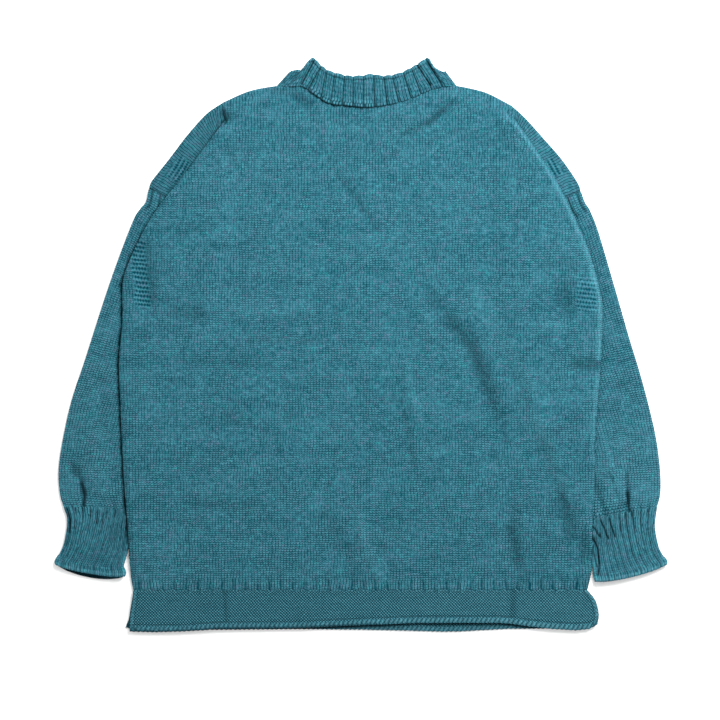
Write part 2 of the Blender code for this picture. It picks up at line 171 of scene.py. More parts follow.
def knitted_wool(name):
    material = bpy.data.materials.new(name)
    material.use_nodes = True
    tree = material.node_tree
    shader = tree.nodes["Principled BSDF"]
    plain = Tone(tree)
    seed, shade, rib, moss = (
        plain.node("ShaderNodeAttribute", {"attribute_name": mark}, {}, 2)
        for mark in ("seed", "shade", "rib", "moss")
    )

    def noise(vector, scale, detail, output=0):
        inputs = {"Vector": vector, "Scale": scale, "Detail": detail}
        return plain.node("ShaderNodeTexNoise", {}, inputs, output)

    def vector_maths(operation, inputs):
        return plain.node("ShaderNodeVectorMath", {"operation": operation}, inputs)

    def place(*axes):
        return plain.node("ShaderNodeCombineXYZ", {}, dict(enumerate(axes)))

    # No two stitches are the same size, so the rows and columns wander.
    stitches = plain.node("ShaderNodeUVMap", {"uv_map": "stitches"}, {})
    for scale, reach in WANDERING:
        shift = vector_maths("SUBTRACT", {0: noise(stitches, scale, 1.0, 1), 1: (0.5, 0.5, 0.5)})
        shift = vector_maths("SCALE", {0: shift, "Scale": reach})
        stitches = vector_maths("ADD", {0: stitches, 1: shift})
    u, v = (plain.node("ShaderNodeSeparateXYZ", {}, {0: stitches}, axis) for axis in (0, 1))

    def patchy(size, order, low=0.36, high=0.62):
        """Uneven shares from place to place; a patch is so many wales wide."""
        return noise(place(u, v * (COURSE / WALE), order), 1 / size, 2.0).spread(low, high)

    # Stocking stitch: two legs that lean outwards, each locked into the row below. Where the yarn
    # lies slack the columns or the rows stand out less.
    side = u.maths("PINGPONG", u, 0.5) * 2
    legs = 0.45 * hump(side) + 0.55 * side * (2 - side)
    climb = v - STITCH_LEAN * (1 - side)
    links = hump(climb.maths("FRACT", climb))
    # Up by the shoulders the cloth is drawn sideways, which closes its rows.
    drawn = v.spread(*DRAWN_ROWS)
    firm = v.spread(*FIRM_ROWS)
    strip = v.spread(STRIP_LIFT - 20, STRIP_LIFT - 15)
    columns = 0.5 + 0.42 * strip + 0.55 * patchy(7, 10) + 0.18 * drawn + 0.4 * rib
    rows = (0.45 + 0.55 * patchy(6, 20)) * (1 - 0.5 * drawn) * (1 - 0.5 * rib)
    rows = rows * (1 - 0.6 * strip)
    stocking = (1 + columns * (legs - 0.65)) * (1 + rows * (links - 0.67))
    stocking = 0.56 + 0.56 * (stocking - 1) * (1 + 0.3 * firm)

    # Seed stitch: purl knots by turns, which run together in slanting lines.
    down = (u + v * 0.5) * math.pi
    across = (u - v * 0.5) * math.pi
    slant = 0.45 + 0.16 * patchy(16, 30, 0.35, 0.6)
    bumps = slant * down.maths("COSINE", down) + (1 - slant) * across.maths("COSINE", across)
    bumps = 0.5 + 1.05 * bumps + 0.2 * v.maths("COSINE", v * math.pi)
    height = stocking + seed * (bumps - stocking)

    # Moss patches, on the shoulder strips and beside the armholes: each second course is purl,
    # which leaves wavy gaps between its knots, with painted shade in them. The collar has a faint
    # share of it.
    wave = v * 0.5 + 0.09 * u + 0.08 * u.maths("PINGPONG", u, 0.5)
    gaps = hump(wave.maths("FRACT", wave))
    gaps = gaps * gaps * gaps
    turn = u + 0.5 * wave.maths("FLOOR", wave)
    turn = hump(turn.maths("FRACT", turn))
    knots = 0.56 + 0.3 * turn - (0.85 - 0.3 * turn) * gaps
    height = height + moss * (knots - height)

    # Two-by-two rib: a sunk pair of columns between each standing pair.
    pair = u * 0.25 + 0.72
    sunk = pair.maths("PINGPONG", pair, 0.5).spread(0.16, 0.05)
    pair = pair.maths("FLOOR", pair + 0.5)
    deep = plain.node("ShaderNodeTexWhiteNoise", {"noise_dimensions": "1D"}, {"W": pair})
    height = height * (1 + rib * (0.12 - sunk * (0.34 + 0.5 * deep)))

    # Heather: the blend changes along the yarn, so each course has its own streaks.
    course = climb.maths("FLOOR", climb)

    def along_yarn(length, order, low, high):
        """Uneven shares along the yarn; one spell of it is so many stitches long."""
        return noise(place(u * (1 / length), course * 3.17, order), 1.0, 2.0).spread(low, high)

    leg = place(u.maths("FLOOR", u * 2), course)
    stitch = plain.node("ShaderNodeTexWhiteNoise", {"noise_dimensions": "2D"}, {0: leg})
    bands = noise(place(u * 0.035, v * 0.16), 1.0, 1.0)
    colour = (along_yarn(1.3, 0.0, 0.5, 0.68) * 0.85).blend(TEAL, MAUVE)
    colour = (along_yarn(1.6, 40.0, 0.53, 0.7) * 0.8).blend(colour, BRIGHT)
    streaks = along_yarn(2.4, 80.0, 0.38, 0.66)
    dull = 0.4 * (1 - stitch) + 0.4 * (0.56 - bands) + 0.32 * (0.6 - streaks)
    # A shade mark below 0 asks for painted light.
    lit = shade.maths("MAXIMUM", 0 - shade, 0)
    # Painted shade between the stitches, deeper where the yarn tone is duller at random and less
    # where painted light is asked for.
    gap_shade = 1.0 - height
    gap_shade = gap_shade.maths("MAXIMUM", gap_shade + dull * 0.7, 0) * (1 - 0.8 * lit)
    # Painted highlight on the tops of the stitches, most on seed stitch, and wherever painted light
    # is asked for.
    stitch_highlight = height.spread(0.6 - 0.15 * seed, 1.1) * (0.25 + 0.5 * seed)
    colour = (stitch.spread(0.99, 1.0) * 0.5).blend(colour, FLECK)
    colour = stitch_highlight.maths("MAXIMUM", stitch_highlight, lit).blend(colour, PAINTED_HIGHLIGHT)
    # Painted shadow wherever the shade mark is above 0, over the painted shade between the
    # stitches.
    colour = shade.blend(gap_shade.blend(colour, STITCH_GAP_SHADE), PAINTED_SHADOW)
    tree.links.new(colour.socket, shader.inputs["Base Color"])

    bump = {"Strength": 1.0, "Distance": STITCH_RELIEF, "Height": height}
    tree.links.new(plain.node("ShaderNodeBump", {}, bump).socket, shader.inputs["Normal"])
    for socket, value in WOOL_SURFACE.items():
        shader.inputs[socket].default_value = value
    return material


wool = knitted_wool("heathered teal wool")

# ---- Front panel -------------------------------------------------------------------------------
# The front of the body, knitted in one with the shoulder strips. Lying flat, it is pleated under
# itself along each shoulder, so the strip shows outside the pleat's fold. Sizes are in mm, with
# +X to the viewer's right and +Y towards the collar.
MM = 0.001
CLOTH = 2.2  # thickness of the knitted wall
PITCH = CLOTH + 0.3  # from the middle of one layer to the middle of the next
FOLD = PITCH / 2  # radius of a fold, at the middle of the wall
INSET = FOLD + CLOTH / 2  # from the outside of a fold to where its round begins
TUCKED = 2 * PITCH  # how far the body is lifted by a sleeve under it
RAMP = 26  # width of the slope down from there
CLEARANCE = 1.5  # between the end of a pleat's hidden fold and that slope
# For each side: Y, X of the edge, X of the end of the sleeve below, and share of the full lift.
BODY_SIDES = {
    "left": (
        (28, -290, -190, 1), (-18, -294, -199, 1), (-67, -292.5, -214, 1), (-115, -290.5, -235, 1),
        (-158, -288.3, -252.5, 1), (-190, -286, -270, 1), (-218, -283.4, -273, 1),
        (-238, -282.6, -270, 0.6), (-259, -281.6, -268, 0.3), (-284, -279.4, -266, 0.12),
        (-300, -276.5, -264, 0),
    ),
    "right": (
        (28, 294.5, 190, 1), (-18, 293, 203, 1), (-67, 289, 219, 1), (-115, 286, 239, 1),
        (-158, 285, 256, 1), (-190, 283.5, 269, 1), (-226, 282, 275, 1), (-246, 282.3, 273, 0.6),
        (-270, 281.9, 268, 0.3), (-286, 279.4, 266, 0.12), (-300, 275.9, 264, 0),
    ),
}
PLEATS = {
    "left": {
        "edge": (
            (-161.5, 277), (-175.5, 260.5), (-215, 208), (-249.5, 164), (-271.5, 125), (-286, 91),
            (-290, 74),
        ),
        "hidden": (-176, 150),
        "outline": (
            (-167, 296.6), (-187.5, 282.4), (-210.5, 257), (-232.5, 228.2), (-247, 210),
            (-255, 199.5), (-257.6, 191),
        ),
        "outward": -1,
    },
    "right": {
        "edge": (
            (178.5, 285), (196, 264), (237, 203), (267.5, 141), (280, 110), (289, 77.5),
            (294.5, 54),
        ),
        "hidden": (184, 158),
        "outline": (
            (184.5, 292.2), (200.5, 277.6), (224.5, 250.9), (246, 226), (265, 198), (268.6, 187),
        ),
        "outward": 1,
    },
}
SHARES = (0, 0.035, 0.07, 0.12)  # along a pleat, where it opens
TURNS = (0, 40, 90, 180)  # degrees that the cloth turns there
LIFTS = (0, 0.44, 1, 1)
ADVANCES = (0, 3.5, 2.5, 0)  # from the pleat's edge to the strip
NECK_SEAM = (
    (-102, 316.5), (-86, 316.5), (-70, 316), (-57, 307.5), (-38.5, 296), (-16.5, 293), (6.5, 291),
    (31, 293.5), (50.5, 298.5), (66.5, 304), (84.5, 312), (100.5, 316), (109, 316.5),
    (117.5, 316.5),
)
SHOULDER_LEFT = (-135.5, 310.1)
SHOULDER_RIGHT = (152, 308.5)
NECK_DIP = 10  # mm that the rows sag below the collar
NECK_DIP_END = 0.25  # share of a pleat's length where they are straight again
PLEAT_ROWS = 56
PLEAT_STEPS = np.linspace(0, 1, PLEAT_ROWS) ** 1.3  # along a pleat, closer together at its top
BODY_LOWER_ROWS = 76
STRIP_STEPS = 16
STRIP_SHARES = np.linspace(0, 1, STRIP_STEPS + 1) ** 1.5  # closer together near the outline
QUARTER = math.pi / 2  # turn, in radians
ROUND = 4  # steps in it, round a fold
FRONT_COLUMNS = (22, 9, 226)  # over a sleeve, down the slope beside it, and across the middle
READINGS = 40  # for each point of a curve, to find even steps along it
FINE_STEPS = 200  # along a pleat, to read its curves at PLEAT_STEPS
TOP_STEPS = 240  # along the outline from shoulder to shoulder
LOFT = 2.4  # air under the front, where nothing presses it down


def limit(values):
    """Values kept between 0 and 1."""
    return np.clip(values, 0, 1)


def bell(place, middle, width):
    """1 at the middle, falling off to both sides within a width."""
    return np.exp(-(((place - middle) / width) ** 2))


def level(layer):
    """Height of the middle of one layer's wall; layer 0 lies on the table."""
    return CLOTH / 2 + PITCH * layer


def curve(points, places):
    """A smooth curve through rows of numbers, read at places that are counted in rows."""
    rows = np.asarray(points, float)
    ends = np.vstack([2 * rows[0] - rows[1], rows, 2 * rows[-1] - rows[-2]])
    index = np.clip(np.floor(places).astype(int), 0, len(rows) - 2)
    step = (np.asarray(places) - index)[:, None]
    before, start, end, after = (ends[index + k] for k in range(4))
    return 0.5 * (
        2 * start
        + (end - before) * step
        + (2 * before - 5 * start + 4 * end - after) * step**2
        + (3 * start - before - 3 * end + after) * step**3
    )


def run_of(path):
    """Distance along a path of points, for each of them."""
    return np.concatenate([[0], np.cumsum(np.linalg.norm(np.diff(path, axis=0), axis=-1))])


def even_places(points, count):
    """Places for curve() that are equally far apart along it."""
    fine = np.linspace(0, len(points) - 1, READINGS * len(points))
    run = run_of(curve(points, fine))
    return np.interp(np.linspace(0, run[-1], count), run, fine)


def even_curve(points, count):
    return curve(points, even_places(points, count))


def pleat_curve(points):
    """Points along a curve at the steps of a pleat's rows."""
    places = even_places(points, FINE_STEPS)
    return curve(points, np.interp(PLEAT_STEPS, np.linspace(0, 1, FINE_STEPS), places))


def line_at(x, line):
    """Y of a line of points that runs to the right, where its X is as given."""
    return np.interp(x, *np.transpose(line))


def unit(vectors):
    return vectors / np.linalg.norm(vectors, axis=-1, keepdims=True)


def square_to(path):
    """Unit vectors square to a path, on its left."""
    along = unit(np.gradient(path, axis=0))
    return np.stack([-along[:, 1], along[:, 0]], axis=1)


def normals_of(path, axis, sign):
    """Unit vectors square to a path, on the side that axis and sign give."""
    across = square_to(path)
    return across * np.where(across[:, axis : axis + 1] * sign > 0, 1, -1)


def stack(points, heights):
    """Points on the table, with their heights as a third number."""
    heights = np.broadcast_to(heights, points.shape[:-1])
    return np.concatenate([points, heights[..., None]], axis=-1)


def line_up(starts, ends, shares):
    """For each row, points at the given shares from start to end, or at so many even steps."""
    if np.isscalar(shares):
        shares = np.linspace(0, 1, shares + 1)
    return starts[:, None] + (ends - starts)[:, None] * shares[None, :, None]


def round_edge(base, outward, height, start, end, downwards):
    """For each row, a round of the wall's middle from one angle to another, in radians."""
    height, start, end = (np.full(len(base), one)[:, None] for one in (height, start, end))
    angles = start + (end - start) * np.linspace(0, 1, ROUND + 1)
    points = base[:, None] + outward[:, None] * (FOLD * np.sin(angles))[..., None]
    drop = FOLD * (1 - np.cos(angles))
    return stack(points, height - drop if downwards else height + drop)


def open_pleat(pleat):
    """The lines of a shoulder pleat, one row for each step along it."""
    edge = pleat_curve(pleat["edge"])
    outward = normals_of(edge, 0, pleat["outward"])
    edge = edge - outward * (INSET * limit(PLEAT_STEPS / SHARES[1]))[:, None]
    opening = np.array([np.interp(SHARES[2], PLEAT_STEPS, edge[:, axis]) for axis in (0, 1)])
    hidden = np.array(pleat["hidden"], float)
    travelled = limit((PLEAT_STEPS - SHARES[2]) / (1 - SHARES[2]))[:, None]
    closed = PLEAT_STEPS[:, None] < SHARES[2]
    base = np.where(closed, edge, opening + (hidden - opening) * travelled)
    strip = base + outward * np.interp(PLEAT_STEPS, SHARES, ADVANCES)[:, None]
    along = unit(hidden - opening)
    inward = np.array([-along[1], along[0]])
    inward = inward if inward[0] * pleat["outward"] < 0 else -inward
    hides = limit((PLEAT_STEPS - SHARES[2]) / (SHARES[3] - SHARES[2]))[:, None]
    inward = unit(-outward * (1 - hides) + inward * hides)
    return {
        "edge": edge,
        "outward": outward,
        "turn": np.radians(np.interp(PLEAT_STEPS, SHARES, TURNS)),
        "lift": TUCKED * np.interp(PLEAT_STEPS, SHARES, LIFTS),
        "strip": strip,
        "inward": inward,
        "tuck": edge + (strip + inward * (INSET + CLEARANCE) - edge) * hides,
        "outline": pleat_curve(pleat["outline"]),
    }


def body_side(rows, pleat, sign):
    """One side of the body from the pleat's top to the hem: edge, tuck and lift for each row."""
    rows = [(edge - sign * INSET, y, tuck, y, lift * TUCKED) for y, edge, tuck, lift in rows]
    rows = np.array([(*pleat["edge"][-1], *pleat["tuck"][-1], TUCKED), *rows])
    lower = curve(rows, even_places(rows[:, :4], BODY_LOWER_ROWS + 1)[1:])
    return {
        "edge": np.vstack([pleat["edge"], lower[:, :2]]),
        "tuck": np.vstack([pleat["tuck"], lower[:, 2:4]]),
        "lift": np.concatenate([pleat["lift"], np.clip(lower[:, 4], 0, TUCKED)]),
        "outward": np.vstack([pleat["outward"], np.tile((sign, 0.0), (len(lower), 1))]),
        "turn": np.concatenate([pleat["turn"] / 2, np.full(len(lower), QUARTER)]),
    }


def panel_half(side, sign, layer, columns):
    """The columns of a body panel from one side's edge to the foot of the slope beside it."""
    tucked, ramp = columns
    height = level(layer) + side["lift"]
    edge = round_edge(side["edge"], side["outward"], height, side["turn"], 0, layer == 1)
    shares = np.linspace(0, 1, tucked + 1) ** 1.35  # closer together by the edge
    over = stack(line_up(side["edge"], side["tuck"], shares), height[:, None])
    foot = side["tuck"] - np.array([sign * RAMP, 0])
    share = np.linspace(0, 1, ramp + 1)
    height = level(layer) + side["lift"][:, None] * (1 - share**2 * (3 - 2 * share))
    slope = stack(line_up(side["tuck"], foot, ramp), height)
    return np.concatenate([edge, over[:, 1:], slope[:, 1:]], axis=1)


def panel_rows(left, right, layer, columns, sags=True):
    """A body panel's rows from left edge to right edge."""
    *columns, middle = columns
    first, last = panel_half(left, -1, layer, columns), panel_half(right, 1, layer, columns)
    centre = line_up(first[:, -1], last[:, -1], middle)[:, 1:-1]
    fade = np.zeros(len(first))
    if sags:
        fade[:PLEAT_ROWS] = limit(1 - PLEAT_STEPS / NECK_DIP_END) ** 2
    sag = NECK_DIP * np.sin(np.linspace(0, math.pi, middle + 1))[1:-1]
    centre[..., 1] -= fade[:, None] * sag
    return np.concatenate([first, centre, last[:, ::-1]], axis=1)


def upper_outline():
    """The garment's outline over the shoulders, without the collar, and which way is out."""
    left, right = (pleat_curve(PLEATS[side]["outline"]) for side in PLEATS)
    top = even_curve([left[0], SHOULDER_LEFT, *NECK_SEAM, SHOULDER_RIGHT, right[0]], TOP_STEPS)
    path = np.vstack([left[::-1], top[1:-1], right])
    outward = square_to(path)
    count = PLEAT_ROWS
    return {
        "left": (path[:count][::-1], outward[:count][::-1]),
        "right": (path[-count:], outward[-count:]),
        "top": (path[count - 1 : -count + 1], outward[count - 1 : -count + 1]),
    }


def below_shoulders(first_row, outline, layer):
    """The rows from the shoulders and the neck down to a panel's first full row."""
    path, outward = outline["top"]
    share = (first_row[:, 0] - first_row[0, 0]) / (first_row[-1, 0] - first_row[0, 0])
    x = path[0, 0] + share * (path[-1, 0] - path[0, 0])
    edge = np.stack([x, line_at(x, path)], axis=1)
    out = unit(np.stack([np.interp(x, path[:, 0], outward[:, axis]) for axis in (0, 1)], axis=1))
    base = edge - out * INSET
    rim = round_edge(base, out, level(layer), QUARTER, 0, layer == 1)
    blend = stack(line_up(base, first_row[:, :2], STRIP_SHARES), level(layer))
    return np.concatenate([rim, blend[:, 1:]], axis=1).transpose(1, 0, 2)


def strip_rows(pleat, outline):
    """The hidden return of a shoulder pleat and the strip outside it."""
    path, outward = outline
    height, turn = level(1), pleat["turn"]
    top = height + pleat["lift"]
    first = round_edge(pleat["edge"], pleat["outward"], top, turn / 2, turn, True)
    second = round_edge(pleat["strip"], pleat["inward"], height, turn, 0, False)
    between = np.linspace(0, 1, 5)[None, 1:-1, None]
    hidden = first[:, -1:] + (second[:, :1] - first[:, -1:]) * between
    base = path - outward * INSET
    strip = stack(line_up(base, pleat["strip"], STRIP_SHARES)[:, ::-1], height)
    rim = round_edge(base, outward, height, 0, QUARTER, True)
    tucked = np.concatenate([first, hidden, second], axis=1)
    return tucked, np.concatenate([strip, rim[:, 1:]], axis=1)


def flat_stitches(points):
    """Stitch counts of cloth that was knitted straight up the body."""
    return np.stack([points[..., 0] / WALE, points[..., 1] / COURSE], axis=-1)


def stitch_counts(wales, courses):
    """Stitch counts from arrays that need not have the same shape."""
    return np.stack(np.broadcast_arrays(wales, courses), axis=-1)


def strip_stitches(strip):
    """Stitch counts of a shoulder strip: its wales run square to the outline."""
    away = np.linalg.norm(strip[..., :2] - strip[:, -1:, :2], axis=-1)
    return stitch_counts(run_of(strip[:, -1, :2])[:, None] / WALE, -away / COURSE)


# Each crease: X and Y where it starts, the height and width of its first stretch, X and Y where
# that ends, and so on for further stretches.
BODY_CREASES = (
    (87, 59, -1.9, 9, 109, 30, -3.1, 10.5, 133.6, 0.6, -3.5, 11, 144.6, -28.7, -3.1, 11,
     158, -58, -2.3, 10, 168, -87, -1.3, 9, 176, -117),
    (140, 66, 1.5, 9, 146, 30), (150, 30, 1.4, 9, 178, 2, 1.4, 10, 210, -60),
    (58, -30, 1.6, 5, 61, -58, 1.5, 5.5, 72, -92), (53, -84, -2.2, 5, 58, -109, -1.8, 5, 64, -146),
    (30, -69, -1.8, 7, 48, -70),
    (-45, -207, -1.4, 10, -35, -225, -1.5, 10, -14, -250, -1.2, 8, -11, -285),
    (-1, -207, 2.4, 6, 5, -243, 2.2, 7, 24, -285), (28, -222, -1.6, 7, 42, -230),
    (189, -200, -1.7, 8, 184, -225, -3.0, 8, 188, -243, -3.2, 8, 191, -262, -2.0, 7,
     199, -280, -1.8, 7, 187, -300),
    (244, -190, -2.6, 10, 256, -232),
    (192, -55, 1.2, 8, 212, -88, 1.9, 11, 226, -118, 1.4, 9, 244, -160, 1.2, 8, 252, -195),
    (70, 52, 1.3, 7, 86, 14), (272, -231, -2.4, 9, 274, -260), (222, 95, -1.6, 9, 256, 97),
    (247, 70, -2.6, 14, 252, 43), (262, -24, -3.2, 9, 284, -24), (-262, 123, -2.4, 11, -256, 55),
    (-226, 40, -2.0, 10, -195, 37), (-135, 7, -1.6, 7, -50, 5), (-33, 60, -1.3, 6, -28, 20),
    (-74, -36, 1.4, 9, -25, -37), (-58, 278, -0.6, 6, -51, 248),
    (-49, 245, -0.6, 6, -29, 208, -1.5, 6, -15, 190, -1.9, 6, 11.6, 153, -1.4, 6, 18, 139),
    (28, 226, -1.5, 4, 46, 235), (184, 280, -1.1, 3.5, 187, 20), (-222, -20, -1.5, 6, -110, -25),
    (-208, -193, -1.6, 8, -135, -197), (-166, -91, -1.8, 9, -150, -92), (-190, 41, 1.3, 8, -62, 44),
    (110, 295, -2.4, 3.4, 100, 286, -3.8, 5, 80, 269, -2.5, 5.5, 50, 257),
    (-114, 313, -2.2, 6, -84, 307), (112, 260, -1.2, 12, 168, 248), (-160, 236, -1.8, 9, -156, 222),
    (-245, 142, -1.2, 10, -200, 140), (-84, 308, -2.6, 8, -64, 294),
    (-161, 279.5, -3.6, 4.5, -160, 276),
)


def from_line(points, start, end):
    """How far points are from a straight line, as vectors, and where along it, as shares."""
    start, end = np.array(start, float), np.array(end, float)
    span = end - start
    share = limit(((points[..., :2] - start) @ span) / (span @ span))
    return points[..., :2] - start - share[..., None] * span, share


def creases(points, table):
    """Height in mm of the creases in a table, at points on the cloth."""
    height = np.zeros(points.shape[:-1])
    stretches = (crease[k : k + 6] for crease in table for k in range(0, len(crease) - 2, 4))
    for x, y, depth, width, *end in stretches:
        away, _ = from_line(points, (x, y), end)
        here = depth * bell(np.linalg.norm(away, axis=-1), 0, width)
        height = np.where(np.abs(here) > np.abs(height), here, height)
    return height


def uneven(points):
    """Height in mm of the soft unevenness of cloth smoothed out by hand."""
    x, y = points[..., 0], points[..., 1]
    return (
        0.30 * np.sin(x / 31 + y / 57 + 1.0)
        + 0.26 * np.sin(y / 37 - x / 83 + 2.0)
        + 0.20 * np.sin(x / 17 - y / 29 + 0.5)
        + 0.12 * np.sin(x / 9 + y / 13 + 4.0)
    )


def knit(name, grids, node):
    """A knitted wall from grids. Each holds its points in mm, its stitch counts and any marks.

    The marks are shares from 0 to 1 of seed stitch, moss patch and rib, and the shade: above 0
    for less light than the open cloth gets, below 0 for more."""
    points, stitches, faces = [], [], []
    marks = {"seed": [], "moss": [], "rib": [], "shade": []}
    for grid in grids:
        rows, columns = grid["points"].shape[:2]
        first = sum(len(block) for block in points)
        points.append(grid["points"].reshape(-1, 3))
        stitches.append(grid["stitches"].reshape(-1, 2))
        for mark, values in marks.items():
            values.append(np.broadcast_to(grid.get(mark, 0.0), (rows, columns)).reshape(-1))
        at = first + np.arange(rows * columns).reshape(rows, columns)
        quads = np.stack([at[:-1, :-1], at[1:, :-1], at[1:, 1:], at[:-1, 1:]], axis=-1)
        faces.append(quads.reshape(-1, 4))
    points, stitches, faces = (np.concatenate(blocks) for blocks in (points, stitches, faces))
    mesh = bpy.data.meshes.new(name)
    mesh.from_pydata((points * MM).tolist(), [], faces.tolist())
    layer = mesh.uv_layers.new(name="stitches")
    corners = np.empty(len(mesh.loops), np.int32)
    mesh.loops.foreach_get("vertex_index", corners)
    layer.data.foreach_set("uv", stitches[corners].astype(np.float32).reshape(-1))
    for mark, values in marks.items():
        mask = mesh.attributes.new(mark, "FLOAT", "POINT")
        mask.data.foreach_set("value", np.concatenate(values).astype(np.float32))
    shape = bmesh.new()
    shape.from_mesh(mesh)
    bmesh.ops.remove_doubles(shape, verts=shape.verts, dist=0.02 * MM)
    bmesh.ops.recalc_face_normals(shape, faces=shape.faces)
    shape.to_mesh(mesh)
    shape.free()
    mesh.shade_smooth()
    piece = bpy.data.objects.new(name, mesh)
    bpy.context.scene.collection.objects.link(piece)
    wall = piece.modifiers.new("knitted wall", "SOLIDIFY")
    wall.thickness = CLOTH * MM
    wall.offset = 0
    mesh.materials.append(wool)
    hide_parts(node)
    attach(piece, "root")
    return piece


pleats = {side: open_pleat(pleat) for side, pleat in PLEATS.items()}
sides = {
    side: body_side(BODY_SIDES[side], pleats[side], PLEATS[side]["outward"]) for side in PLEATS
}
outline = upper_outline()
front_rows = panel_rows(*sides.values(), 1, FRONT_COLUMNS)
front_top = below_shoulders(front_rows[0], outline, 1)

EDGE_ROLL = 1.1  # mm that the body swells beside its side folds
EDGE_ROLL_PLACE = (5, 3.4)  # mm from the fold to the middle of that swelling, and its width
TWIN_GAP = (0.12, 0.07)  # faint gap between a ridge's two columns: its depth and its width
HEM_RIBS = (-285, -300)  # mm, where the ribs above the welt start and end
HEM_RIB = 4 * WALE  # mm from one rib to the next
EDGE_DARKNESS = {"left": 1.0, "right": 0.12}  # painted shadow under the body's edge; the lamp is at the right
# How dark that painted shadow is at some heights up the body.
EDGE_STRENGTH = ((60, 1), (100, 0.95), (150, 0.65), (235, 0.5), (262, 1))
# Moss patches by the armholes: from X to X, from Y to Y, and mm that they lean for each mm up.
SIDE_PATCHES = {"left": (-274, -253, 44, 130, 0.105), "right": (262, 288, 40, 84, 0.0)}
STRIP_PATCHES = {"left": (84, 117), "right": (80, 108)}  # mm along a shoulder strip
STRIP_SHADE = {"left": 0.18, "right": 0.03}  # it lies lower than the body
# Painted shade in the sunk armhole seam, at a strip's end and its sleeve's head; more on the left,
# away from the lamp.
STRIP_SEAM = {"left": 0.55, "right": 0.3}
PLEAT_HOLE = ((-165.8, 285.5), (-163, 275.5))  # where the left pleat starts, in a little hole
HOLE_RIGHT = 2.0  # mm over which its dark fades towards the body
HOLE_LEFT = 5.2  # mm, and towards the strip
# Cloth that slopes away from the lamp: middle and width in X and in Y, and how much less light.
SLOPES = (((15, 90), (270, 40), 0.06), ((188, 16), (208, 32), 0.07))
# At some heights up the body, how much light the tight cloth by its right edge catches, and the
# middle and width of that light in mm from the edge.
TIGHT_EDGE = ((-150, 0.25), (-60, 0.7), (60, 1), (110, 0.7), (285, 0.6), (292, 0))
TIGHT_PLACE = (1.5, 2.6)
# At some places across, how much of the collar seam's shadow falls on the front.
SEAM_SHADOW = ((-78, 0), (-60, 1), (5, 1), (36, 0.15), (60, -0.3))


def furrows(turns, width):
    """1 in the narrow valleys of ribbing, at each whole turn, falling to about 0 on its ridges."""
    away = np.abs((turns + 0.5) % 1 - 0.5)
    return bell(away, 0, width) + TWIN_GAP[0] * bell(away, 0.5, TWIN_GAP[1])


def hem_band(points):
    """1 in the ribbed band above the welt, and 0 in the rest of the body."""
    x, y = points[..., 0], points[..., 1]
    number = np.floor(x / HEM_RIB + 1.22)
    ragged = 2.6 * np.sin(number * 1.7) + 1.2 * np.sin(x * 0.83 + 1)
    return limit((HEM_RIBS[0] + ragged - y) / 4) * np.clip((y - HEM_RIBS[1]) / 2, 0.4, 1)


def hem_valleys(points):
    """How deep the valleys of the ribbed band are, each in its own way."""
    x, y = points[..., 0], points[..., 1]
    turns = x / HEM_RIB + 0.72 + 0.06 * np.sin(x * 0.11 + y * 0.16)
    number = np.floor(turns + 0.5)
    valley = (0.62 + 0.34 * np.sin(number * 2.4)) * furrows(turns, 0.15)
    beside = (0.4 + 0.4 * np.sin(number * 1.3)) * furrows(turns + 0.33, 0.1)
    return np.maximum(valley, beside) * hem_band(points)


def hem_join(points):
    """How far the join of body and welt wanders up and down, in mm; the cloth near it follows."""
    x, away = points[..., 0], np.abs(points[..., 1] - HEM_RIBS[1])
    wander = 1.1 * np.sin(x / HEM_RIB * math.tau + 1) + 0.8 * np.sin(x * 0.83 + 2)
    wander = wander + 0.4 * np.sin(x * 1.9)
    return wander * limit(1 - away / 12) * limit((272 - np.abs(x)) / 6)


def front_relief(points):
    """The front with its creases, standing a little off the back; the edges stay down."""
    points = points.copy()
    points[..., 1] += hem_join(points)
    x, y = points[..., 0], points[..., 1]
    left, right = (line_at(y, sides[side]["edge"][::-1, ::-1]) for side in PLEATS)
    sideways = np.minimum(x - left, right - x)
    below_top = line_at(x, outline["top"][0]) - y
    inside = np.minimum(sideways, below_top)
    loft = limit(inside / 14) ** 0.7 * np.clip((y + 306) / 20, 0.7, 1)
    rolled = EDGE_ROLL * bell(sideways, *EDGE_ROLL_PLACE) * limit(below_top / 30)
    relief = LOFT + creases(points, BODY_CREASES) + uneven(points)
    points[..., 2] += loft * relief + rolled - 0.8 * hem_valleys(points)
    return points


def beyond_body(points, side):
    """How far points lie outside the edge of the body, in mm."""
    edge = line_at(points[..., 1], sides[side]["edge"][::-1, ::-1])
    return np.abs(points[..., 0]) - np.abs(edge)


def shadow_beside_body(points, side):
    """How much painted shadow falls on cloth where it passes in under the edge of the body."""
    y = points[..., 1]
    reach = np.clip(beyond_body(points, side) - INSET, 0, None)
    ragged = 3.3 + 0.7 * np.sin(y * 0.7) + 0.8 * np.sin(y * 0.19) + 2.0 * bell(y, 275, 4)
    dark = np.maximum(limit(1.5 - 1.3 * reach / ragged), 0.12 * np.exp(-reach / 16))
    below_point = limit((sides[side]["edge"][0, 1] + 1 - y) / 3)
    return EDGE_DARKNESS[side] * line_at(y, EDGE_STRENGTH) * dark * below_point


def patch(points, x_low, x_high, y_low, y_high, lean):
    """1 inside a rectangle of the cloth and 0 outside it, with a soft edge."""
    x, y = points[..., 0] + lean * (points[..., 1] - y_low), points[..., 1]
    inside = np.minimum(np.minimum(x - x_low, x_high - x), np.minimum(y - y_low, y_high - y))
    return limit(inside / 3)


def darkest(*shades):
    return np.maximum.reduce(np.broadcast_arrays(*shades))


def lighten(shade, amount):
    """Shade with this much light added wherever there is no shadow to speak of."""
    return np.where(shade > 0.15, shade, shade - amount)


